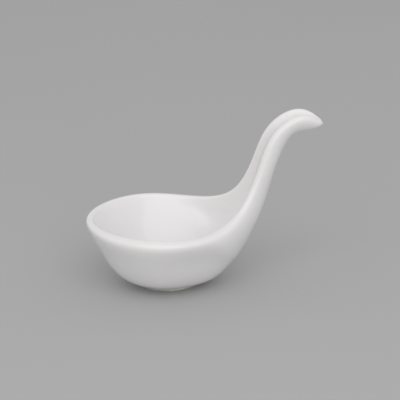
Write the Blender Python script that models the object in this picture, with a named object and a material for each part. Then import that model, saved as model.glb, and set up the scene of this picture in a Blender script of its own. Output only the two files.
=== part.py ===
"""Amuse-bouche spoon in glazed porcelain: a round bowl on a low oval foot ring, with its back wall drawn up
into a swan-neck handle. The rolled edge of the bowl runs on along both sides of the handle, beside a
channel, and closes at the tip. The foot ring is wiped bare of glaze.

Metres, +Z up. +X runs from the bowl to the handle, and the spoon is symmetric about Y = 0.
"""

import math
from collections import namedtuple

import bmesh
import bpy
from mathutils import Vector

# Bowl, measured from its axis and from the table
RIM_RADIUS = 0.0330
RIM_HEIGHT = 0.0305
LIP_THICKNESS = 0.0034
LIP_ROLL = 0.0020
SHOULDER_RADIUS = 0.0280
SHOULDER_HEIGHT = 0.0180
BELLY_RADIUS = 0.0200
BELLY_HEIGHT = 0.0060
WALL = 0.0036
FLOOR_HEIGHT = 0.0048

# Oval foot ring, set back towards the handle so that the spoon stands steadily
FOOT_LENGTH = 0.0251
FOOT_WIDTH = 0.0204
FOOT_SETBACK = 0.0027
FOOT_EDGE = 0.0026
FOOT_HEIGHT = 0.0008
WELL_DEPTH = 0.0009
WELL_SLOPE = 0.0008

# Handle: the crown of its rolled edges as seen from the side, and the sizes of its section
JUNCTION_ANGLE = math.radians(52)
ROOT_LEAN = math.radians(48)
ROOT_DEPTH = 0.0215
ROOT_FULLNESS = 0.63
NECK_REACH = 0.0401
NECK_HEIGHT = 0.0530
NECK_LEAN = math.radians(71)
NECK_SPAN = 0.0141
NECK_DEPTH = 0.0087
CREST_REACH = 0.0588
CREST_HEIGHT = 0.0758
CREST_SPAN = 0.0093
CREST_DEPTH = 0.0084
TIP_REACH = 0.0685
TIP_HEIGHT = 0.0703
TIP_DROOP = math.radians(76)
TIP_START = 0.80
TIP_SPAN = 0.0054
TIP_DEPTH = 0.0064
TIP_CHANNEL = 0.0011

# How far the handle's curve runs on from each of its points, as a share of the distance between them
CURVE_ARM = 0.37

# Glaze, and the gap that keeps it a separate piece from the body
GLAZE_THICKNESS = 0.0003
BOND_GAP = 0.0003

# Mesh
COLUMNS = 10
SMOOTHING = 2
PULLS = 60
PULL_STRENGTH = 1.5

BARE, GLAZED, WELL = range(3)
BACK = range(-2, 3)
ROWS = ("outside", "crown", "inside")
ROUND = math.sqrt(0.5)

Station = namedtuple("Station", "reach height lean half_span depth fullness")


def columns():
    """Column numbers round the bowl. Column 0 runs up the back of the handle."""
    return list(range(1 - COLUMNS // 2, COLUMNS // 2 + 1))


def mix(start, end, share):
    return start + (end - start) * share


def sweep(start, start_lean, end, end_lean, share):
    """A point on the curve between two points with a given angle at each end, and the curve's angle."""
    arm = CURVE_ARM * (end - start).length
    leaving = start + arm * Vector((math.cos(start_lean), math.sin(start_lean)))
    arriving = end - arm * Vector((math.cos(end_lean), math.sin(end_lean)))
    legs = ((start, leaving), (leaving, arriving), (arriving, end))
    first, second, third = (a.lerp(b, share) for a, b in legs)
    first, second = first.lerp(second, share), second.lerp(third, share)
    way = second - first
    return first.lerp(second, share), math.atan2(way.y, way.x)


def handle_stations():
    """Where the handle's sections stand and how large they are, from the bowl's rim to the crest."""
    crown = RIM_RADIUS - LIP_ROLL
    root = Vector((crown * math.cos(JUNCTION_ANGLE), RIM_HEIGHT))
    neck = Vector((NECK_REACH, NECK_HEIGHT))
    crest = Vector((CREST_REACH, CREST_HEIGHT))
    root_span = 2 * crown * math.sin(JUNCTION_ANGLE)
    stations = []
    for share in (0.0, 0.5, 1.0):
        place, _ = sweep(root, 0.0, neck, NECK_LEAN, share)
        lean = mix(ROOT_LEAN, NECK_LEAN, share)
        settle = 1 - (1 - share) ** 2
        span = mix(root_span, NECK_SPAN, settle)
        depth = mix(ROOT_DEPTH, NECK_DEPTH, settle)
        fullness = mix(ROOT_FULLNESS, ROUND, share)
        stations.append(Station(*place, lean, span / 2, depth, fullness))
    for share in (0.5, 1.0):
        place, lean = sweep(neck, NECK_LEAN, crest, 0.0, share)
        span = mix(NECK_SPAN, CREST_SPAN, share)
        depth = mix(NECK_DEPTH, CREST_DEPTH, share)
        stations.append(Station(*place, lean, span / 2, depth, ROUND))
    return stations


def backwards(lean):
    """From the rolled edges of the handle towards its back."""
    return Vector((math.sin(lean), 0, -math.cos(lean)))


def section(station):
    """Points of a section by row and column: a rounded trough, with a rolled edge on each side."""
    inner_roll = LIP_THICKNESS - LIP_ROLL
    place = Vector((station.reach, 0, station.height))
    back = backwards(station.lean)
    rows = (
        (station.half_span + LIP_ROLL, LIP_ROLL, station.depth),
        (station.half_span, 0, LIP_ROLL),
        (station.half_span - inner_roll, inner_roll, station.depth - WALL),
    )
    bend = station.fullness
    points = {}
    for c, aside, down in zip(BACK, (-1, -bend, 0, bend, 1), (0, bend, 1, bend, 0)):
        for row, (half_width, top, bottom) in zip(ROWS, rows):
            across = Vector((0, half_width * aside, 0))
            points[row, c] = place + across + back * mix(top, bottom, down)
    return points


def tip_section():
    """The last section, short of the tip, where the rolled edges draw together and the channel runs out."""
    crest = Vector((CREST_REACH, CREST_HEIGHT))
    place, lean = sweep(crest, 0.0, Vector((TIP_REACH, TIP_HEIGHT)), -TIP_DROOP, TIP_START)
    points = section(Station(*place, lean, TIP_SPAN / 2, TIP_DEPTH, ROUND))
    for c in BACK:
        share = c / 3
        across = Vector((0, share * TIP_SPAN / 2, 0))
        sunk = backwards(lean) * TIP_CHANNEL * (1 - share ** 2)
        points["inside", c] = Vector((place.x, 0, place.y)) + across + sunk
    return points


def on_circle(radius, angle, height):
    return Vector((radius * math.cos(angle), radius * math.sin(angle), height))


def ring(radius, height):
    """An evenly divided circle about the bowl's axis."""
    return {c: on_circle(radius, c * math.tau / COLUMNS, height) for c in columns()}


def foot_ring(inset, height):
    """A loop of the oval foot, some way inside its outline."""
    stretch = Vector((FOOT_LENGTH / 2 - inset, FOOT_WIDTH / 2 - inset, 1))
    setback = Vector((FOOT_SETBACK, 0, height))
    return {c: point * stretch + setback for c, point in ring(1, 0).items()}


def rim_loop(row, root, radius, height):
    """A loop round the front of the rim and across the root of the handle."""
    step = (math.pi - JUNCTION_ANGLE) / (COLUMNS // 2 - 2)
    loop = {c: root[row, c] for c in BACK[1:-1]}
    for c in set(columns()).difference(loop):
        angle = JUNCTION_ANGLE + step * (abs(c) - 2)
        loop[c] = on_circle(radius, math.copysign(angle, c), height)
    return loop


def wall_loop(low, high, out, up):
    """A loop of the bowl's wall, some share of the way out and of the way up between two others."""
    loop = {}
    for c in columns():
        angles = [math.pi if c == COLUMNS // 2 else math.atan2(end[c].y, end[c].x) for end in (low, high)]
        radius = mix(low[c].xy.length, high[c].xy.length, out)
        loop[c] = on_circle(radius, mix(*angles, out), mix(low[c].z, high[c].z, up))
    return loop


def lining(below, loop, above):
    """The loop inside the wall that faces one outside it, square to the slope between its neighbours."""
    inner = {}
    for c, point in loop.items():
        out = point.xy.normalized()
        slope = math.atan2(above[c].z - below[c].z, (above[c].xy - below[c].xy).dot(out))
        inward = out.to_3d() * -math.sin(slope)
        inner[c] = point + WALL * (inward + Vector((0, 0, math.cos(slope))))
    return inner


def bowl_loops(root):
    """Loops and their finish, from the middle of the underside out to the rim and in to the bowl's floor."""
    foot = FOOT_WIDTH / 2
    roll_height = RIM_HEIGHT - LIP_ROLL
    inner_height = RIM_HEIGHT - LIP_THICKNESS + LIP_ROLL
    foot_root = foot_ring(0, FOOT_HEIGHT)
    outside = rim_loop("outside", root, RIM_RADIUS, roll_height)
    crown = rim_loop("crown", root, RIM_RADIUS - LIP_ROLL, RIM_HEIGHT)
    inside = rim_loop("inside", root, RIM_RADIUS - LIP_THICKNESS, inner_height)

    def wall(radius, height):
        out = (radius - foot) / (RIM_RADIUS - foot)
        up = (height - FOOT_HEIGHT) / (roll_height - FOOT_HEIGHT)
        return wall_loop(foot_root, outside, out, up)

    belly = wall(BELLY_RADIUS, BELLY_HEIGHT)
    shoulder = wall(SHOULDER_RADIUS, SHOULDER_HEIGHT)
    return [
        (foot_ring(FOOT_EDGE + WELL_SLOPE, WELL_DEPTH), WELL),
        (foot_ring(FOOT_EDGE, 0), BARE),
        (foot_ring(0, 0), BARE),
        (foot_root, BARE),
        (belly, GLAZED),
        (shoulder, GLAZED),
        (outside, GLAZED),
        (crown, GLAZED),
        (inside, GLAZED),
        (lining(belly, shoulder, outside), GLAZED),
        (lining(foot_root, belly, shoulder), GLAZED),
    ]


def next_ring(bm, verts, places, finish):
    """Extrudes a ring of the cage to the next one."""
    order = columns()
    edges = [bm.edges.get((verts[a], verts[b])) for a, b in zip(order, order[1:] + order[:1])]
    made = bmesh.ops.extrude_edge_only(bm, edges=edges)["geom"]
    for part in made:
        if isinstance(part, bmesh.types.BMFace):
            part.material_index = finish
    grown = {}
    for c, vert in verts.items():
        grown[c] = next(e.other_vert(vert) for e in vert.link_edges if e.other_vert(vert) in made)
        grown[c].co = places[c]
    return grown


def next_section(bm, grid, places):
    """Extrudes the end of the handle to its next section."""
    ends = set(grid.values())
    faces = [f for f in bm.faces if ends.issuperset(f.verts)]
    made = bmesh.ops.extrude_face_region(bm, geom=faces)["geom"]
    new = [part for part in made if isinstance(part, bmesh.types.BMVert)]
    grown = {key: min(new, key=lambda v: (v.co - vert.co).length_squared) for key, vert in grid.items()}
    bmesh.ops.delete(bm, geom=faces, context="FACES")
    for key, vert in grown.items():
        vert.co = places[key]
    return grown


def close_ring(bm, verts, finish, height):
    """Fills a ring with a fan of faces round a middle point at the given height."""
    face = bm.faces.new(verts.values())
    face.material_index = finish
    middle = bmesh.ops.poke(bm, faces=[face])["verts"][0]
    middle.co.z = height


def close_tip(bm, grid):
    """Swaps the flat end of the handle for a fan of faces round its tip."""
    ends = set(grid.values())
    faces = [f for f in bm.faces if ends.issuperset(f.verts)]
    flat = bmesh.ops.dissolve_faces(bm, faces=faces)["region"]
    tip = bmesh.ops.poke(bm, faces=flat)["verts"][0]
    tip.co = TIP_REACH, 0, TIP_HEIGHT


def cage():
    """The coarse cage of the spoon's skin, with the finish of each face as its material number."""
    sections = [section(station) for station in handle_stations()] + [tip_section()]
    (places, finish), *loops = bowl_loops(sections[0])
    bm = bmesh.new()
    rings = [{c: bm.verts.new(place) for c, place in sorted(places.items())}]
    close_ring(bm, rings[0], finish, WELL_DEPTH)
    for places, finish in loops:
        rings.append(next_ring(bm, rings[-1], places, finish))
    close_ring(bm, rings[-1], GLAZED, FLOOR_HEIGHT)
    rim = rings[6:9]
    grid = {(row, c): verts[c] for row, verts in zip(ROWS, rim) for c in BACK}
    for places in sections[1:]:
        grid = next_section(bm, grid, places)
    close_tip(bm, grid)
    bmesh.ops.recalc_face_normals(bm, faces=bm.faces)
    if bm.calc_volume(signed=True) < 0:
        bmesh.ops.reverse_faces(bm, faces=bm.faces)
    mesh = bpy.data.meshes.new("cage")
    bm.to_mesh(mesh)
    bm.free()
    return mesh


def smoothed(mesh, levels):
    """The cage's smooth surface."""
    obj = bpy.data.objects.new("cage", mesh)
    bpy.context.scene.collection.objects.link(obj)
    smooth = obj.modifiers.new("Smooth", "SUBSURF")
    smooth.levels = smooth.render_levels = levels
    surface = bpy.data.meshes.new_from_object(obj.evaluated_get(bpy.context.evaluated_depsgraph_get()))
    bpy.data.objects.remove(obj)
    return surface


def skin():
    """The outer skin: the cage is pulled until the skin runs through its points, and the foot is flat."""
    mesh = cage()
    aims = [v.co.copy() for v in mesh.vertices]
    for _ in range(PULLS):
        surface = smoothed(mesh, 1)
        for vert, aim, reached in zip(mesh.vertices, aims, surface.vertices):
            vert.co += PULL_STRENGTH * (aim - reached.co)
        bpy.data.meshes.remove(surface)
    surface = smoothed(mesh, SMOOTHING)
    for vert in surface.vertices:
        vert.co.z = max(vert.co.z, 0)
    return surface


def body_mesh(surface):
    """The porcelain under the glaze, which comes out to the skin where the foot is bare."""
    bm = bmesh.new()
    bm.from_mesh(surface)
    bm.normal_update()
    inset = GLAZE_THICKNESS + BOND_GAP
    moves = {v: v.normal * inset for v in bm.verts if any(f.material_index != BARE for f in v.link_faces)}
    for vert, move in moves.items():
        vert.co -= move
    return finished("porcelain_body", bm)


def coat_mesh(name, surface, finish):
    """The patch of the skin that has the given finish."""
    bm = bmesh.new()
    bm.from_mesh(surface)
    others = [f for f in bm.faces if f.material_index != finish]
    bmesh.ops.delete(bm, geom=others, context="FACES")
    return finished(name, bm)


def finished(name, bm):
    for face in bm.faces:
        face.smooth = True
        face.material_index = 0
    mesh = bpy.data.meshes.new(name)
    bm.to_mesh(mesh)
    bm.free()
    return mesh


def material(name, color, roughness, coat):
    found = bpy.data.materials.new(name)
    found.use_nodes = True
    shader = found.node_tree.nodes["Principled BSDF"]
    shader.inputs["Base Color"].default_value = (*color, 1)
    shader.inputs["Roughness"].default_value = roughness
    shader.inputs["Coat Weight"].default_value = coat
    found.diffuse_color = (*color, 1)
    return found


def add_piece(mesh, look, frame):
    obj = bpy.data.objects.new(mesh.name, mesh)
    bpy.context.scene.collection.objects.link(obj)
    mesh.materials.append(look)
    obj.parent = frame
    return obj


def add_coat(mesh, look, frame):
    """A piece of glaze, given its thickness inwards from the skin."""
    obj = add_piece(mesh, look, frame)
    solid = obj.modifiers.new("Glaze", "SOLIDIFY")
    solid.thickness = GLAZE_THICKNESS
    solid.offset = -1


def clear_scene():
    for obj in list(bpy.data.objects):
        bpy.data.objects.remove(obj)


def main():
    clear_scene()
    surface = skin()
    frame = bpy.data.objects.new("spoon", None)
    bpy.context.scene.collection.objects.link(frame)
    reach = [v.co.x for v in surface.vertices]
    frame.location.x = -mix(min(reach), max(reach), 0.5)
    add_piece(body_mesh(surface), material("bare_porcelain", (0.86, 0.83, 0.78), 0.7, 0), frame)
    coat_look = material("white_glaze", (0.9, 0.9, 0.88), 0.12, 0.5)
    add_coat(coat_mesh("glaze_coat", surface, GLAZED), coat_look, frame)
    well_look = material("well_glaze", (0.88, 0.88, 0.86), 0.18, 0.4)
    add_coat(coat_mesh("foot_well_glaze", surface, WELL), well_look, frame)


if __name__ == "__main__":
    main()
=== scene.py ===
"""Looks of a porcelain amuse-bouche spoon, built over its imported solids.

The skin of the spoon is one cage, extruded ring by ring from the middle of the foot up to the rim and down to
the bowl's floor, then section by section along the handle, and smoothed. The fired clay, the white glaze over
it and the glaze in the well under the foot are patches of that skin.
"""

import math
from collections import namedtuple

import bmesh
import bpy
import numpy as np
from bpy.props import FloatProperty, FloatVectorProperty, PointerProperty
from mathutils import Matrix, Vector


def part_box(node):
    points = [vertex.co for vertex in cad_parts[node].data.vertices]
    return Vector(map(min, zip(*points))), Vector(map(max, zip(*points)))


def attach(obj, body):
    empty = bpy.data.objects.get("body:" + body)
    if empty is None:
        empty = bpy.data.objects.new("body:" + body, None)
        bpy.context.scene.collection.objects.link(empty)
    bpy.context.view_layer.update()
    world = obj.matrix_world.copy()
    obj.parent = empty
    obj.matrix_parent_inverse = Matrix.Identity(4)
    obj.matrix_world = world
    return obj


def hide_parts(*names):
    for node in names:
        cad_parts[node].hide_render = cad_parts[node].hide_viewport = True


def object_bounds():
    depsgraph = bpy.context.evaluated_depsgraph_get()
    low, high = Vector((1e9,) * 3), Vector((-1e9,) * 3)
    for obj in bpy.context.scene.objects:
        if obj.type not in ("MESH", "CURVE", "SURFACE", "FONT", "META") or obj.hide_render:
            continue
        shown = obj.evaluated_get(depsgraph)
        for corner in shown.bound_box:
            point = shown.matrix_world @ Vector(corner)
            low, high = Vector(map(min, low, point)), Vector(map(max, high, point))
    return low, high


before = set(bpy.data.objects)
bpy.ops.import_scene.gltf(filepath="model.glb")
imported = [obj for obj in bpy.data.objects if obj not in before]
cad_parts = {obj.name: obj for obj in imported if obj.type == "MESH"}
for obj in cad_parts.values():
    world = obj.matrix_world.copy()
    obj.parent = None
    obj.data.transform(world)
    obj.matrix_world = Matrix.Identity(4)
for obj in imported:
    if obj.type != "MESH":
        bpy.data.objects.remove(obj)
CAD_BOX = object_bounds()

bl_info = {
    "name": "Amuse-bouche spoon",
    "version": (1, 0, 0),
    "blender": (4, 5, 0),
    "location": "3D View > Sidebar > Spoon",
    "description": "Shapes a glazed porcelain spoon over its packed solids and sets it on a studio floor",
    "category": "Object",
}

# The cage: columns round the bowl, those that run up the handle, rows across the rolled edge, and finishes
COLUMNS = 10
FRONT = COLUMNS // 2
BACK = range(-2, 3)
ROWS = ("outside", "crown", "inside")
RIM_RINGS = slice(6, 9)  # the rings that have these rows, counted from the middle of the foot
BARE, GLAZED, WELL = range(3)

# The handle: its sections as parts of the way from root to neck and from neck to crest, and their curves
LOWER_PARTS = (0.0, 0.5, 1.0)
UPPER_PARTS = (0.5, 1.0)
CURVE_ARM = 0.37  # reach of a curve's tangents, as a share of its chord
ROUND = math.sqrt(0.5)  # fullness of a half round section
TIP_STEPS = 3  # columns from the middle of the tip's channel to its edge

# The skin: how the cage is pulled and smoothed, and how bends are turned into depths of glaze
FINE_LEVEL = 4
PULLS = 60
PULL_STRENGTH = 1.5
BEND_PASSES = 8
POOLING_RADIUS = 0.0033
EDGE_ROOM = 0.5  # greatest depth of the clay, as a share of an edge's radius

# The rounded edge of a coat of glaze
EDGE_SEGMENTS = 3
EDGE_ANGLE = math.radians(50)

# Patterns of the glaze: sizes and depths in metres, and the ranges in which a pattern fades in
GLAZE_CLOUD = 0.022
CLOUDED = (0.35, 0.75)
PALEST_POOL_AND_SHADE = 0.55  # strength of the greyer tint in hollows, part gathered glaze and part painted shade, where the clouds are lightest
SPECK_SPACING = 0.009
SPECK_EDGE = (0.020, 0.006)  # as shares of that spacing
SMUDGE = 0.016
SMUDGED = (0.42, 0.72)
SMUDGE_DISTORTION = 0.6
SCUFF_PATCH = 0.014
SCUFFED = (0.50, 0.66)
SCUFF_LINES = (0.64, 0.72)
SCUFF_WAYS = ((0.5, (900, 45, 45)), (-0.9, (1100, 55, 55)))  # turn, and streaks per metre along each axis
GLAZE_SWELL = 0.012
GLAZE_SWELL_DEPTH = 0.00006
GLAZE_RIPPLE = 0.0014
GLAZE_RIPPLE_DEPTH = 0.000004

# Ranges of the pooling mark: drawn thin over edges, gathered in hollows and greyed there as partly painted
# shade, and scraped where food is taken out
THIN = (0.35, 0.02)
POOLED_AND_SHADED = (0.64, 0.95)
SCRAPED = (0.50, 0.62)

# Patterns of the bare clay, in the same way
CLAY_GRAIN = 0.0005
CLAY_GRAIN_DEPTH = 0.00004
CLAY_CLOUD = 0.006
SCORCHED = (0.3, 0.7)
SCORCHED_HEIGHTS = (0.0003, 0.0009)
SOILED = (0.62, 0.40)
SOILED_HEIGHTS = (0.00025, 0.00002)
SOIL_LEAST = 0.35  # strength of the soil's tint
SOIL_IN_GRAIN = 0.4  # what the grain adds to it
WIPE_SPACING = 0.0014
WIPE_DEPTH = 0.00002
WIPE_WAVER = {"Distortion": 1.2, "Detail": 2.0, "Detail Scale": 1.5}
GRAIN_ROUGHNESS = 0.15
SOIL_POLISH = 0.12  # roughness that soiling takes away
CLAY_SHEEN = 0.35

# The stage: the floor and its pattern, in the same way, and the camera's sensor
FLOOR_SEGMENTS = 96
FLOOR_CLOUD = 0.35
FLOOR_CLOUDED = (0.2, 0.8)
FLOOR_SHADE = 0.97  # darkest tone, as a share of the floor's colour
FLOOR_ROUGHNESS = 0.9
SENSOR_WIDTH = 36  # in millimetres

MIX_FIRST, MIX_SECOND, MIX_RESULT = 6, 7, 2  # a Mix node's sockets for colours

Station = namedtuple("Station", "reach height lean half_span depth fullness")


def number(name, description, default, **kind):
    return FloatProperty(name=name, description=description, default=default, **kind)


def length(name, description, default):
    return number(name, description, default, min=0, precision=5, unit="LENGTH")


def angle(name, description, degrees):
    return number(name, description, math.radians(degrees), unit="ROTATION")


def share(name, description, default):
    return number(name, description, default, min=0, max=1, subtype="FACTOR")


def numbers(name, description, default, **kind):
    return FloatVectorProperty(name=name, description=description, default=default, **kind)


def colour(name, description, *default):
    return numbers(name, description, default, min=0, max=1, subtype="COLOR")


def position(name, description, *default):
    return numbers(name, description, default, subtype="TRANSLATION", unit="LENGTH")


class SpoonShape(bpy.types.PropertyGroup):
    """Sizes of the spoon. Reaches are measured from the bowl's axis and heights from the table."""

    rim_radius: length("Rim radius", "Outside of the bowl's rim", 0.0330)
    rim_height: length("Rim height", "Top of the bowl's rim", 0.0305)
    lip_thickness: length("Lip thickness", "Width of the rolled edge at the front and on the handle", 0.0034)
    lip_roll: length("Lip roll", "Rounding of that edge towards the outside", 0.0020)
    side_thickness: length("Side thickness", "Width of the rolled edge at the sides of the bowl", 0.0050)
    side_roll: length("Side roll", "Rounding of the sides' edge towards the outside", 0.0030)
    side_rise: length("Side rise", "How far the rim's sides stand above its front", 0.0004)
    shoulder_radius: length("Shoulder radius", "Outside of the bowl, half-way up", 0.0280)
    shoulder_height: length("Shoulder height", "Height at which the shoulder radius holds", 0.0180)
    belly_radius: length("Belly radius", "Outside of the bowl, low down", 0.0200)
    belly_height: length("Belly height", "Height at which the belly radius holds", 0.0060)
    wall: length("Wall", "Thickness of the bowl and of the handle's back", 0.0036)
    floor_height: length("Floor height", "Lowest point inside the bowl", 0.0048)

    foot_length: length("Foot length", "Oval foot ring, along the spoon", 0.0251)
    foot_width: length("Foot width", "Oval foot ring, across the spoon", 0.0204)
    foot_setback: length("Foot setback", "Foot's middle, from the bowl's axis towards the handle", 0.0027)
    foot_edge: length("Foot edge", "Width of the ring that stands on the table", 0.0026)
    foot_height: length("Foot height", "Height of the bare ring, up to the glaze line", 0.0008)
    well_depth: length("Well depth", "Depth of the well under the foot", 0.0009)
    well_slope: length("Well slope", "Width of the slope round the well", 0.0008)

    junction_angle: angle("Junction angle", "Where the rim leaves the bowl, either side of the handle", 52)
    root_lean: angle("Root lean", "Slope of the handle's first section", 48)
    root_depth: length("Root depth", "Depth of the handle where it leaves the bowl", 0.0215)
    root_fullness: share("Root fullness", "How square the root's section is", 0.63)
    neck_reach: length("Neck reach", "Where the handle is steepest", 0.0401)
    neck_height: length("Neck height", "Height of the handle where it is steepest", 0.0530)
    neck_lean: angle("Neck lean", "Slope of the handle where it is steepest", 71)
    neck_span: length("Neck span", "Distance between the rolled edges at the neck", 0.0141)
    neck_depth: length("Neck depth", "Depth of the handle at the neck", 0.0087)
    crest_reach: length("Crest reach", "Where the handle is highest", 0.0588)
    crest_height: length("Crest height", "Top of the spoon", 0.0758)
    crest_span: length("Crest span", "Distance between the rolled edges at the crest", 0.0093)
    crest_depth: length("Crest depth", "Depth of the handle at the crest", 0.0084)
    tip_reach: length("Tip reach", "End of the handle", 0.0701)
    tip_height: length("Tip height", "Height of the handle's end", 0.0711)
    tip_droop: angle("Tip droop", "How far the end of the handle turns down", 46)
    tip_start: share("Tip start", "Where the rounded end starts, between crest and tip", 0.90)
    tip_span: length("Tip span", "Distance between the rolled edges at the rounded end", 0.0064)
    tip_depth: length("Tip depth", "Depth of the handle at the rounded end", 0.0058)
    tip_channel: length("Tip channel", "Depth of the channel as it runs out", 0.0014)
    tip_width: length("Tip width", "Width of the blunt tip itself", 0.0028)

    glaze_thickness: length("Glaze thickness", "Thickness of the fired glaze", 0.0003)
    glaze_bond: length("Glaze bond", "Space between the glaze and the clay", 0.00002)
    glaze_edge: length("Glaze edge", "Rounding of the glaze where it stops at the foot", 0.0001)


class SpoonFinish(bpy.types.PropertyGroup):
    """Colours and finish of the glaze and the bare clay."""

    glaze: colour("Glaze", "White glaze on plain walls", 0.905, 0.889, 0.891)
    # A greyer glaze: in hollows it is partly gathered glaze and partly painted shade, and it is also the
    # random clouds of tint
    pooled_glaze_and_shade: colour("Pooled glaze and shade", "Glaze where it gathers in hollows, with painted shade there", 0.760, 0.745, 0.735)
    thin_glaze: colour("Thin glaze", "Glaze drawn thin over edges", 0.908, 0.892, 0.888)
    cloudiness: share("Cloudiness", "How far the glaze's tint drifts", 0.10)
    speck: colour("Speck", "Iron specks burnt into the glaze", 0.42, 0.36, 0.29)
    speckled: share("Speckled", "How many of the places for a speck have one", 0.45)
    speck_strength: share("Speck strength", "How dark the specks are", 0.5)
    glaze_roughness: share("Glaze roughness", "Roughness of clean glaze", 0.13)
    smudge_roughness: share("Smudge roughness", "Roughness that smudges add", 0.06)
    scuff_roughness: share("Scuff roughness", "Roughness that scuffs add", 0.10)
    clay: colour("Clay", "Bare fired clay", 0.80, 0.77, 0.72)
    scorched_clay: colour("Scorched clay", "Clay tinted in the kiln beside the glaze", 0.76, 0.71, 0.64)
    soiled_clay: colour("Soiled clay", "Clay greyed where it stands on tables", 0.56, 0.54, 0.51)
    clay_roughness: share("Clay roughness", "Roughness of the bare clay", 0.78)


class SpoonStage(bpy.types.PropertyGroup):
    """Floor, light and camera."""

    floor: colour("Floor", "Plain pale floor", 0.50, 0.50, 0.50)
    floor_radius: length("Floor radius", "How far the floor reaches", 3)
    backdrop: colour("Backdrop", "Pale surround beyond the floor", 0.74, 0.74, 0.74)
    surround: number("Surround", "Light from all around", 0.81, min=0)
    key_power: number("Key power", "Strength of the soft light", 7.8, unit="POWER")
    key_size: length("Key size", "Width of the soft light", 1.8)
    key_place: position("Key place", "Middle of the soft light", -0.13, -1.06, 0.78)
    camera_azimuth: angle("Camera azimuth", "Turn of the camera round the spoon", -7)
    camera_elevation: angle("Camera elevation", "Camera's height as an angle", 20.67)
    camera_distance: length("Camera distance", "From the camera to the middle of the rim", 0.75)
    view_width: length("View width", "Width of the picture at the middle of the rim", 0.1731)
    view_height: length("View height", "Height that the camera and the light aim at", 0.030)
    shift_across: share("Shift across", "How far left of the picture's middle the rim's middle is", 0.0941)
    shift_up: share("Shift up", "How far below the picture's middle the rim's middle is", 0.0457)


def mix(start, end, part):
    """The value some part of the way from one to another."""
    return start + (end - start) * part


def sweep(start, start_lean, end, end_lean, part):
    """A point on the curve between two points with a given slope at each end, and the curve's slope there."""
    arm = CURVE_ARM * (end - start).length
    leaving = start + arm * Vector((math.cos(start_lean), math.sin(start_lean)))
    arriving = end - arm * Vector((math.cos(end_lean), math.sin(end_lean)))
    legs = ((start, leaving), (leaving, arriving), (arriving, end))
    first, second, third = (a.lerp(b, part) for a, b in legs)
    first, second = first.lerp(second, part), second.lerp(third, part)
    way = second - first
    return first.lerp(second, part), math.atan2(way.y, way.x)


def handle_stations(shape):
    """Where the handle's sections stand and how large they are, from the bowl's rim to the crest."""
    crown = shape.rim_radius - shape.lip_roll
    root = Vector((crown * math.cos(shape.junction_angle), shape.rim_height))
    root_span = 2 * crown * math.sin(shape.junction_angle)
    neck = Vector((shape.neck_reach, shape.neck_height))
    crest = Vector((shape.crest_reach, shape.crest_height))
    stations = []
    for part in LOWER_PARTS:
        place, _ = sweep(root, 0.0, neck, shape.neck_lean, part)
        lean = mix(shape.root_lean, shape.neck_lean, part)
        settled = 1 - (1 - part) ** 2
        span = mix(root_span, shape.neck_span, settled)
        depth = mix(shape.root_depth, shape.neck_depth, settled)
        fullness = mix(shape.root_fullness, ROUND, part)
        stations.append(Station(*place, lean, span / 2, depth, fullness))
    for part in UPPER_PARTS:
        place, lean = sweep(neck, shape.neck_lean, crest, 0.0, part)
        span = mix(shape.neck_span, shape.crest_span, part)
        depth = mix(shape.neck_depth, shape.crest_depth, part)
        stations.append(Station(*place, lean, span / 2, depth, ROUND))
    return stations


def backwards(lean):
    """From the rolled edges of the handle towards its back."""
    return Vector((math.sin(lean), 0, -math.cos(lean)))


def lip_rolls(shape):
    """Roundings of the rolled edge, towards the outside and towards the inside."""
    return shape.lip_roll, shape.lip_thickness - shape.lip_roll


def section(shape, station):
    """Points of a section by row and column: a rounded trough, with a rolled edge on each side."""
    roll, turn = lip_rolls(shape)
    place = Vector((station.reach, 0, station.height))
    back = backwards(station.lean)
    rows = (
        (station.half_span + roll, roll, station.depth),
        (station.half_span, 0, roll),
        (station.half_span - turn, turn, station.depth - shape.wall),
    )
    bend = station.fullness
    points = {}
    for c, aside, down in zip(BACK, (-1, -bend, 0, bend, 1), (0, bend, 1, bend, 0)):
        for row, (half_width, top, bottom) in zip(ROWS, rows):
            across = Vector((0, half_width * aside, 0))
            points[row, c] = place + across + back * mix(top, bottom, down)
    return points


def tip_section(shape):
    """The last section, where the channel runs out and the rolled edges meet round the blunt tip."""
    crest = Vector((shape.crest_reach, shape.crest_height))
    tip = Vector((shape.tip_reach, shape.tip_height))
    place, lean = sweep(crest, 0.0, tip, -shape.tip_droop, shape.tip_start)
    points = section(shape, Station(*place, lean, shape.tip_span / 2, shape.tip_depth, ROUND))
    for c in BACK:
        aside = c / TIP_STEPS
        across = Vector((0, aside * shape.tip_span / 2, 0))
        sunk = backwards(lean) * shape.tip_channel * (1 - aside**2)
        points["inside", c] = Vector((place.x, 0, place.y)) + across + sunk
    for c in BACK[1:-1]:
        points["crown", c] = Vector((tip.x, c * shape.tip_width / 2, tip.y))
    return points


def columns():
    """Column numbers round the bowl. Column 0 runs up the back of the handle."""
    return list(range(1 - FRONT, FRONT + 1))


def on_circle(radius, turn, height):
    """A point on a level circle round the bowl's axis."""
    return Vector((radius * math.cos(turn), radius * math.sin(turn), height))


def foot_loop(shape, inset, height):
    """A loop of the oval foot, some way inside its outline."""
    stretch = Vector((shape.foot_length / 2 - inset, shape.foot_width / 2 - inset, 1))
    middle = Vector((shape.foot_setback, 0, height))
    return {c: on_circle(1, c * math.tau / COLUMNS, 0) * stretch + middle for c in columns()}


def rim_edge(shape, turn):
    """How far in and down each row of the rim lies. The rolled edge is thickest at the bowl's sides."""
    swell = math.sin(turn)
    roll = mix(shape.lip_roll, shape.side_roll, swell)
    thickness = mix(shape.lip_thickness, shape.side_thickness, swell)
    rise = shape.side_rise * swell
    return {
        "outside": (0, roll - rise),
        "crown": (roll, -rise),
        "inside": (thickness, thickness - roll - rise),
    }


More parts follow.
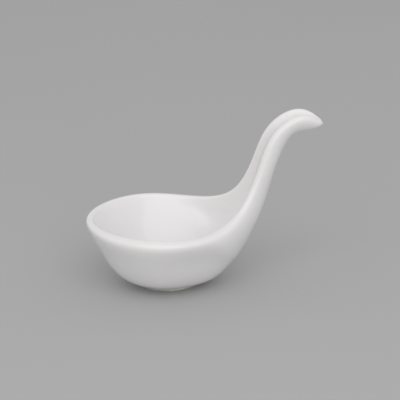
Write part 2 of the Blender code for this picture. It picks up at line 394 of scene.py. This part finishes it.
def rim_loop(shape, row, root):
    """A loop round the front of the rim and across the root of the handle."""
    edge = BACK[-1]
    step = (math.pi - shape.junction_angle) / (FRONT - edge)
    loop = {c: root[row, c] for c in BACK[1:-1]}
    for c in set(columns()).difference(loop):
        turn = shape.junction_angle + step * (abs(c) - edge)
        inwards, down = rim_edge(shape, turn)[row]
        loop[c] = on_circle(shape.rim_radius - inwards, math.copysign(turn, c), shape.rim_height - down)
    return loop


def wall_loop(low, high, out, up):
    """A loop of the bowl's wall, some share of the way out and of each column's way up between two others."""
    loop = {}
    for c in columns():
        turns = [math.pi if c == FRONT else math.atan2(end[c].y, end[c].x) for end in (low, high)]
        radius = mix(low[c].xy.length, high[c].xy.length, out)
        loop[c] = on_circle(radius, mix(*turns, out), mix(low[c].z, high[c].z, up[c]))
    return loop


def lining(shape, below, loop, above):
    """The loop inside the wall that faces one outside it, square to the slope between its neighbours."""
    inner = {}
    for c, point in loop.items():
        out = point.xy.normalized()
        slope = math.atan2(above[c].z - below[c].z, (above[c].xy - below[c].xy).dot(out))
        inward = out.to_3d() * -math.sin(slope)
        inner[c] = point + shape.wall * (inward + Vector((0, 0, math.cos(slope))))
    return inner


def bowl_loops(shape, root):
    """Loops and their finish, from the middle of the underside out to the rim and in to the bowl's floor."""
    foot = shape.foot_width / 2
    foot_root = foot_loop(shape, 0, shape.foot_height)
    outside, crown, inside = (rim_loop(shape, row, root) for row in ROWS)
    tops = {c: shape.rim_height - shape.lip_roll if c in BACK[1:-1] else outside[c].z for c in columns()}

    def wall(radius, height):
        out = (radius - foot) / (shape.rim_radius - foot)
        up = {c: (height - shape.foot_height) / (top - shape.foot_height) for c, top in tops.items()}
        return wall_loop(foot_root, outside, out, up)

    belly = wall(shape.belly_radius, shape.belly_height)
    shoulder = wall(shape.shoulder_radius, shape.shoulder_height)
    return [
        (foot_loop(shape, shape.foot_edge + shape.well_slope, shape.well_depth), WELL),
        (foot_loop(shape, shape.foot_edge, 0), BARE),
        (foot_loop(shape, 0, 0), BARE),
        (foot_root, BARE),
        (belly, GLAZED),
        (shoulder, GLAZED),
        (outside, GLAZED),
        (crown, GLAZED),
        (inside, GLAZED),
        (lining(shape, belly, shoulder, outside), GLAZED),
        (lining(shape, foot_root, belly, shoulder), GLAZED),
    ]


def next_ring(bm, verts, places, finish):
    """Extrudes a ring of the cage to the next one."""
    order = columns()
    edges = [bm.edges.get((verts[a], verts[b])) for a, b in zip(order, order[1:] + order[:1])]
    made = bmesh.ops.extrude_edge_only(bm, edges=edges)["geom"]
    for part in made:
        if isinstance(part, bmesh.types.BMFace):
            part.material_index = finish
    grown = {}
    for c, vert in verts.items():
        grown[c] = next(e.other_vert(vert) for e in vert.link_edges if e.other_vert(vert) in made)
        grown[c].co = places[c]
    return grown


def next_section(bm, grid, places):
    """Extrudes the end of the handle to its next section."""
    ends = set(grid.values())
    faces = [f for f in bm.faces if ends.issuperset(f.verts)]
    made = bmesh.ops.extrude_face_region(bm, geom=faces)["geom"]
    new = [part for part in made if isinstance(part, bmesh.types.BMVert)]
    grown = {key: min(new, key=lambda v: (v.co - vert.co).length_squared) for key, vert in grid.items()}
    bmesh.ops.delete(bm, geom=faces, context="FACES")
    for key, vert in grown.items():
        vert.co = places[key]
    return grown


def close_ring(bm, verts, finish, height):
    """Fills a ring with a fan of faces round a middle point at the given height."""
    face = bmesh.ops.contextual_create(bm, geom=list(verts.values()))["faces"][0]
    face.material_index = finish
    middle = bmesh.ops.poke(bm, faces=[face])["verts"][0]
    middle.co.z = height


def cage(shape):
    """The coarse cage of the spoon's skin, with the finish of each face as its material number."""
    sections = [section(shape, station) for station in handle_stations(shape)] + [tip_section(shape)]
    (places, finish), *loops = bowl_loops(shape, sections[0])
    bm = bmesh.new()
    circle = bmesh.ops.create_circle(bm, segments=COLUMNS, radius=shape.foot_width / 2)["verts"]
    ring = dict(zip(columns(), circle))
    for c, vert in ring.items():
        vert.co = places[c]
    close_ring(bm, ring, finish, shape.well_depth)
    rings = [ring]
    for places, finish in loops:
        rings.append(next_ring(bm, rings[-1], places, finish))
    close_ring(bm, rings[-1], GLAZED, shape.floor_height)
    grid = {(row, c): verts[c] for row, verts in zip(ROWS, rings[RIM_RINGS]) for c in BACK}
    for places in sections[1:]:
        grid = next_section(bm, grid, places)
    bmesh.ops.recalc_face_normals(bm, faces=bm.faces)
    if bm.calc_volume(signed=True) < 0:
        bmesh.ops.reverse_faces(bm, faces=bm.faces)
    return to_mesh("cage", bm)


def to_mesh(name, bm):
    """A mesh with smooth faces."""
    for face in bm.faces:
        face.smooth = True
    mesh = bpy.data.meshes.new(name)
    bm.to_mesh(mesh)
    bm.free()
    return mesh


def smoothed(obj):
    """The mesh of an object with its modifiers."""
    return bpy.data.meshes.new_from_object(obj.evaluated_get(bpy.context.evaluated_depsgraph_get()))


def read_points(mesh):
    """The places of a mesh's points, a row for each."""
    flat = np.empty(len(mesh.vertices) * 3)
    mesh.vertices.foreach_get("co", flat)
    return flat.reshape(-1, 3)


def write_points(mesh, places):
    """Moves a mesh's points to the given places."""
    mesh.vertices.foreach_set("co", places.ravel())
    mesh.update()


def skin(shape):
    """The fine outer skin. Its cage is pulled until the skin meets the cage's points, save at the tip."""
    obj = bpy.data.objects.new("skin", cage(shape))
    bpy.context.scene.collection.objects.link(obj)
    smooth = obj.modifiers.new("Smooth", "SUBSURF")
    smooth.levels = smooth.render_levels = 1
    aims = read_points(obj.data)
    pulled = aims.copy()
    held = aims[:, 0] < shape.crest_reach + shape.lip_roll
    for _ in range(PULLS):
        reached = smoothed(obj)
        pulled[held] += PULL_STRENGTH * (aims - read_points(reached)[: len(aims)])[held]
        write_points(obj.data, pulled)
        bpy.data.meshes.remove(reached)
    smooth.levels = smooth.render_levels = FINE_LEVEL
    surface = smoothed(obj)
    bpy.data.objects.remove(obj)
    places = read_points(surface)
    places[:, 0] += CAD_BOX[0].x - places[:, 0].min()
    places[:, 2] = places[:, 2].clip(0)
    write_points(surface, places)
    return surface


def neighbours(bm):
    """The points next to each point of a mesh."""
    return {vert: [edge.other_vert(vert) for edge in vert.link_edges] for vert in bm.verts}


def strongest_bend(vert, others):
    """The skin's strongest bend at a point, one over its radius: negative on edges, positive in hollows."""
    spokes = [other.co - vert.co for other in others]
    return max((2 * spoke.dot(vert.normal) / spoke.length_squared for spoke in spokes), key=abs)


def edge_limit(vert, others):
    """How deep the clay may lie under a point: on edges a share of the radius."""
    bend = strongest_bend(vert, others)
    return EDGE_ROOM / -bend if bend < 0 else math.inf


def clay_mesh(shape, surface):
    """The clay: it lies under the glaze, less deep along tight edges, and is bare on the foot ring."""
    bm = bmesh.new()
    bm.from_mesh(surface)
    bm.normal_update()
    moves = {}
    for vert, others in neighbours(bm).items():
        finishes = {face.material_index for face in vert.link_faces}
        if finishes != {BARE}:
            depth = shape.glaze_thickness + shape.glaze_bond
            if GLAZED in finishes:
                depth = min(depth, edge_limit(vert, others))
            moves[vert] = vert.normal * depth
    for vert, move in moves.items():
        vert.co -= move
    return to_mesh("porcelain_clay", bm)


def mark_pooling(bm):
    """Marks where glaze thins and where it pools, which is also where the glaze is greyed as painted shade: 0
    over sharp edges, a half on flat walls, 1 in hollows.
    """
    pooling = bm.verts.layers.float.new("pooling")
    around = neighbours(bm)
    bends = {vert: strongest_bend(vert, others) for vert, others in around.items()}
    for _ in range(BEND_PASSES):
        bends = {vert: sum(bends[other] for other in others) / len(others) for vert, others in around.items()}
    for vert, bend in bends.items():
        vert[pooling] = 0.5 + 0.5 * math.tanh(bend * POOLING_RADIUS)


def coat_mesh(name, surface, finish):
    """The patch of the skin that has the given finish, marked for where its glaze pools and where its
    material paints shade in hollows.
    """
    bm = bmesh.new()
    bm.from_mesh(surface)
    bm.normal_update()
    mark_pooling(bm)
    others = [face for face in bm.faces if face.material_index != finish]
    bmesh.ops.delete(bm, geom=others, context="FACES")
    return to_mesh(name, bm)


class Value:
    """An output of a node. Sums written with it add the Math nodes that they need."""

    def __init__(self, tree, socket):
        self.tree = tree
        self.socket = socket

    def math(self, operation, *terms):
        return add_node(self.tree, "ShaderNodeMath", {"operation": operation}, dict(enumerate(terms)))

    def __add__(self, other):
        return self.math("ADD", self, other)

    def __sub__(self, other):
        return self.math("SUBTRACT", self, other)

    def __rsub__(self, other):
        return self.math("SUBTRACT", other, self)

    def __mul__(self, other):
        return self.math("MULTIPLY", self, other)

    def __gt__(self, other):
        return self.math("GREATER_THAN", self, other)

    def __lt__(self, other):
        return self.math("LESS_THAN", self, other)

    def ramp(self, start, end):
        """0 before a range, 1 after it and a smooth rise between. The range may run down."""
        settings = {"interpolation_type": "SMOOTHSTEP"}
        sockets = {"Value": self, "From Min": start, "From Max": end}
        return add_node(self.tree, "ShaderNodeMapRange", settings, sockets)

    __radd__ = __add__
    __rmul__ = __mul__


def add_node(tree, kind, settings=None, sockets=None, output=0):
    """Adds a node, sets it up, fills or links its sockets, and gives back one of its outputs."""
    node = tree.nodes.new(kind)
    for key, value in (settings or {}).items():
        setattr(node, key, value)
    fill(node, sockets or {})
    return Value(tree, node.outputs[output])


def fill(node, sockets):
    """Links or sets the sockets of a node."""
    for key, value in sockets.items():
        if isinstance(value, Value):
            value.tree.links.new(value.socket, node.inputs[key])
        else:
            node.inputs[key].default_value = value


class Finish:
    """A procedural material and the patterns that its nodes read."""

    def __init__(self, name):
        self.material = bpy.data.materials.new(name)
        self.material.use_nodes = True
        self.tree = self.material.node_tree
        self.shader = self.tree.nodes["Principled BSDF"]
        self.place = self.node("ShaderNodeTexCoord", output="Object")

    def node(self, kind, settings=None, sockets=None, output=0):
        return add_node(self.tree, kind, settings, sockets, output)

    def noise(self, size, detail=2, place=None, distortion=0):
        """Soft blotches of about the given size."""
        sockets = {"Vector": place or self.place, "Scale": 1 / size}
        sockets |= {"Detail": detail, "Distortion": distortion}
        return self.node("ShaderNodeTexNoise", None, sockets)

    def turned(self, turn, scale, middle=(0, 0, 0)):
        """Coordinates moved, turned about the upright axis and stretched."""
        moved = self.node("ShaderNodeVectorMath", {"operation": "SUBTRACT"}, {0: self.place, 1: middle})
        sockets = {"Vector": moved, "Rotation": (0, 0, turn), "Scale": scale}
        return self.node("ShaderNodeMapping", None, sockets)

    def blend(self, amount, first, second):
        """A colour between two others."""
        first, second = (c if isinstance(c, Value) else (*c, 1) for c in (first, second))
        sockets = {0: amount, MIX_FIRST: first, MIX_SECOND: second}
        return self.node("ShaderNodeMix", {"data_type": "RGBA"}, sockets, MIX_RESULT)

    def bump(self, height, depth, normal=None):
        """A relief of the given depth, over another one."""
        sockets = {"Height": height, "Distance": depth}
        if normal:
            sockets["Normal"] = normal
        return self.node("ShaderNodeBump", None, sockets)

    def shade(self, **sockets):
        """Fills the sockets of the shader, whose names are written with underscores."""
        fill(self.shader, {key.replace("_", " "): value for key, value in sockets.items()})
        return self.material


def specks(look, speckled):
    """Small round specks, at some of the places of a loose pattern."""
    cells = {"Vector": look.place, "Scale": 1 / SPECK_SPACING}
    near = look.node("ShaderNodeTexVoronoi", None, cells, "Distance")
    chance = look.node("ShaderNodeTexVoronoi", None, cells, "Color")
    chosen = look.node("ShaderNodeSeparateColor", None, {"Color": chance}, "Red") < speckled
    return near.ramp(*SPECK_EDGE) * chosen


def scuffs(look):
    """Fine streaks in two directions, in patches."""
    patches = look.noise(SCUFF_PATCH).ramp(*SCUFFED)
    streaks = [look.noise(1, detail=1, place=look.turned(*way)).ramp(*SCUFF_LINES) for way in SCUFF_WAYS]
    return (streaks[0] + streaks[1]) * patches


def glaze_material(name, finish):
    """Glossy white glaze: thin over edges, greyed in hollows as gathered glaze and painted shade, uneven,
    with a few specks and faint marks.
    """
    look = Finish(name)
    pooling = look.node("ShaderNodeAttribute", {"attribute_name": "pooling"}, None, "Fac")
    cloud = look.noise(GLAZE_CLOUD, detail=3)
    pooled_and_shaded = pooling.ramp(*POOLED_AND_SHADED) * mix(PALEST_POOL_AND_SHADE, 1, cloud)
    tint = look.blend(pooling.ramp(*THIN), finish.glaze, finish.thin_glaze)
    # Hollows greyed: partly glaze gathering there, partly painted shade in creases such as the handle's
    # channel
    tint = look.blend(pooled_and_shaded, tint, finish.pooled_glaze_and_shade)
    tint = look.blend(cloud.ramp(*CLOUDED) * finish.cloudiness, tint, finish.pooled_glaze_and_shade)
    tint = look.blend(specks(look, finish.speckled) * finish.speck_strength, tint, finish.speck)

    marks = scuffs(look) * pooling.ramp(*SCRAPED)
    smudge = look.noise(SMUDGE, detail=4, distortion=SMUDGE_DISTORTION).ramp(*SMUDGED)
    roughness = finish.glaze_roughness + finish.smudge_roughness * smudge + finish.scuff_roughness * marks

    swell = look.bump(look.noise(GLAZE_SWELL, detail=1), GLAZE_SWELL_DEPTH)
    relief = look.bump(look.noise(GLAZE_RIPPLE), GLAZE_RIPPLE_DEPTH, swell)
    return look.shade(Base_Color=tint, Roughness=roughness, Normal=relief)


def clay_material(name, finish, middle, aspect):
    """Bare fired clay: matt and grainy, wiped round the ring, scorched by the glaze and soiled underneath."""
    look = Finish(name)
    grain = look.noise(CLAY_GRAIN, detail=3)
    cloud = look.noise(CLAY_CLOUD, detail=3)
    height = look.node("ShaderNodeSeparateXYZ", None, {"Vector": look.place}, "Z")
    scorched = height.ramp(*SCORCHED_HEIGHTS) * cloud.ramp(*SCORCHED)
    soiled = height.ramp(*SOILED_HEIGHTS) * cloud.ramp(*SOILED)
    tint = look.blend(scorched, finish.clay, finish.scorched_clay)
    tint = look.blend(soiled * (SOIL_LEAST + SOIL_IN_GRAIN * grain), tint, finish.soiled_clay)

    sockets = {"Vector": look.turned(0, (1, aspect, 1), middle), "Scale": 1 / WIPE_SPACING, **WIPE_WAVER}
    wiped = look.node("ShaderNodeTexWave", {"wave_type": "RINGS", "rings_direction": "Z"}, sockets, "Fac")
    relief = look.bump(grain, CLAY_GRAIN_DEPTH, look.bump(wiped, WIPE_DEPTH))
    roughness = finish.clay_roughness + GRAIN_ROUGHNESS * (grain - 0.5) - SOIL_POLISH * soiled
    return look.shade(Base_Color=tint, Roughness=roughness, Normal=relief, Specular_IOR_Level=CLAY_SHEEN)


def add_piece(mesh, material, node):
    """Puts a mesh into the scene in place of a CAD node."""
    obj = bpy.data.objects.new(mesh.name, mesh)
    bpy.context.scene.collection.objects.link(obj)
    mesh.materials.clear()
    mesh.materials.append(material)
    mesh.polygons.foreach_set("material_index", [0] * len(mesh.polygons))
    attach(obj, "root")
    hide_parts(node)
    return obj


def add_coat(shape, mesh, material, node, clamp=0):
    """Puts a coat of glaze into the scene, with its thickness inwards from the skin and a rounded edge.

    A clamp of 1 thins the coat where it would fold, inside bends that are tighter than it is thick.
    """
    obj = add_piece(mesh, material, node)
    solid = obj.modifiers.new("Thickness", "SOLIDIFY")
    solid.thickness = shape.glaze_thickness
    solid.thickness_clamp = clamp
    solid.offset = -1
    edge = obj.modifiers.new("Edge", "BEVEL")
    edge.width = shape.glaze_edge
    edge.segments = EDGE_SEGMENTS
    edge.limit_method = "ANGLE"
    edge.angle_limit = EDGE_ANGLE


class SPOON_OT_clay(bpy.types.Operator):
    """Make the fired clay of the bowl, handle and foot ring"""

    bl_idname = "spoon.clay"
    bl_label = "Clay"

    def execute(self, context):
        shape = context.scene.spoon_shape
        low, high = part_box("foot_well_glaze")
        middle = ((low.x + high.x) / 2, 0, 0)
        aspect = shape.foot_length / shape.foot_width
        material = clay_material("bare_porcelain", context.scene.spoon_finish, middle, aspect)
        add_piece(clay_mesh(shape, skin(shape)), material, "porcelain_body")
        return {"FINISHED"}


class SPOON_OT_glaze(bpy.types.Operator):
    """Make the white glaze over the bowl and handle, and the glaze in the well under the foot"""

    bl_idname = "spoon.glaze"
    bl_label = "Glaze"

    def execute(self, context):
        shape = context.scene.spoon_shape
        finish = context.scene.spoon_finish
        surface = skin(shape)
        coat = coat_mesh("white_glaze_coat", surface, GLAZED)
        add_coat(shape, coat, glaze_material("white_glaze", finish), "glaze_coat", clamp=1)
        well = coat_mesh("foot_well_coat", surface, WELL)
        add_coat(shape, well, glaze_material("well_glaze", finish), "foot_well_glaze")
        return {"FINISHED"}


class SPOON_OT_stage(bpy.types.Operator):
    """Set the floor, the soft light and the camera"""

    bl_idname = "spoon.stage"
    bl_label = "Stage"

    def execute(self, context):
        stage = context.scene.spoon_stage
        context.scene.view_settings.view_transform = "Standard"
        add_floor(stage)
        add_surround(stage)
        add_key(stage)
        add_camera(context.scene)
        return {"FINISHED"}


def add_floor(stage):
    """A plain round floor with a faint drift of tone."""
    bm = bmesh.new()
    bmesh.ops.create_circle(bm, cap_ends=True, segments=FLOOR_SEGMENTS, radius=stage.floor_radius)
    mesh = to_mesh("floor", bm)
    look = Finish("floor")
    darker = [FLOOR_SHADE * channel for channel in stage.floor]
    tint = look.blend(look.noise(FLOOR_CLOUD).ramp(*FLOOR_CLOUDED), darker, stage.floor)
    mesh.materials.append(look.shade(Base_Color=tint, Roughness=FLOOR_ROUGHNESS))
    obj = bpy.data.objects.new("floor", mesh)
    bpy.context.scene.collection.objects.link(obj)


def add_surround(stage):
    """A pale surround, seen at its own colour and giving an even light."""
    world = bpy.data.worlds.new("surround")
    bpy.context.scene.world = world
    world.use_nodes = True
    tree = world.node_tree
    seen = add_node(tree, "ShaderNodeLightPath", None, None, "Is Camera Ray")
    for ray in ("Is Glossy Ray", "Is Transmission Ray"):
        seen = seen.math("MAXIMUM", seen, add_node(tree, "ShaderNodeLightPath", None, None, ray))
    background = tree.nodes["Background"]
    background.inputs["Color"].default_value = (*stage.backdrop, 1)
    strength = stage.surround + (1 - stage.surround) * seen
    tree.links.new(strength.socket, background.inputs["Strength"])


def add_key(stage):
    """A wide soft light in front of the spoon and above it."""
    light = bpy.data.lights.new("key", "AREA")
    light.shape = "DISK"
    light.size = stage.key_size
    light.energy = stage.key_power
    obj = bpy.data.objects.new("key", light)
    bpy.context.scene.collection.objects.link(obj)
    obj.location = stage.key_place
    aim = Vector((0, 0, stage.view_height)) - obj.location
    obj.rotation_euler = aim.to_track_quat("-Z", "Y").to_euler()


def add_camera(scene):
    """The camera looks at the middle of the rim, which is left of and below the middle of the picture."""
    stage = scene.spoon_stage
    data = bpy.data.cameras.new("camera")
    data.sensor_fit = "HORIZONTAL"
    data.sensor_width = SENSOR_WIDTH
    data.lens = data.sensor_width * stage.camera_distance / stage.view_width
    data.shift_x = stage.shift_across
    data.shift_y = stage.shift_up
    camera = bpy.data.objects.new("camera", data)
    scene.collection.objects.link(camera)
    turn, rise = stage.camera_azimuth, stage.camera_elevation
    away = Vector((math.sin(turn) * math.cos(rise), -math.cos(turn) * math.cos(rise), math.sin(rise)))
    bowl_axis = CAD_BOX[0].x + scene.spoon_shape.rim_radius
    camera.location = Vector((bowl_axis, 0, stage.view_height)) + stage.camera_distance * away
    camera.rotation_euler = away.to_track_quat("Z", "Y").to_euler()
    scene.camera = camera


class SPOON_PT_panel(bpy.types.Panel):
    """Sizes, finish and stage of the spoon"""

    bl_label = "Amuse-bouche spoon"
    bl_idname = "SPOON_PT_panel"
    bl_space_type = "VIEW_3D"
    bl_region_type = "UI"
    bl_category = "Spoon"

    def draw(self, context):
        layout = self.layout
        for operator in (SPOON_OT_clay, SPOON_OT_glaze, SPOON_OT_stage):
            layout.operator(operator.bl_idname)
        for group in (context.scene.spoon_shape, context.scene.spoon_finish, context.scene.spoon_stage):
            column = layout.column()
            for name in group.__annotations__:
                column.prop(group, name)


GROUPS = {"spoon_shape": SpoonShape, "spoon_finish": SpoonFinish, "spoon_stage": SpoonStage}
TOOLS = (SPOON_OT_clay, SPOON_OT_glaze, SPOON_OT_stage, SPOON_PT_panel)


def register():
    for name, group in GROUPS.items():
        bpy.utils.register_class(group)
        setattr(bpy.types.Scene, name, PointerProperty(type=group))
    for tool in TOOLS:
        bpy.utils.register_class(tool)


def unregister():
    for tool in reversed(TOOLS):
        bpy.utils.unregister_class(tool)
    for name, group in GROUPS.items():
        delattr(bpy.types.Scene, name)
        bpy.utils.unregister_class(group)


def main():
    register()
    bpy.ops.spoon.clay()
    bpy.ops.spoon.glaze()
    bpy.ops.spoon.stage()


if __name__ == "__main__":
    main()
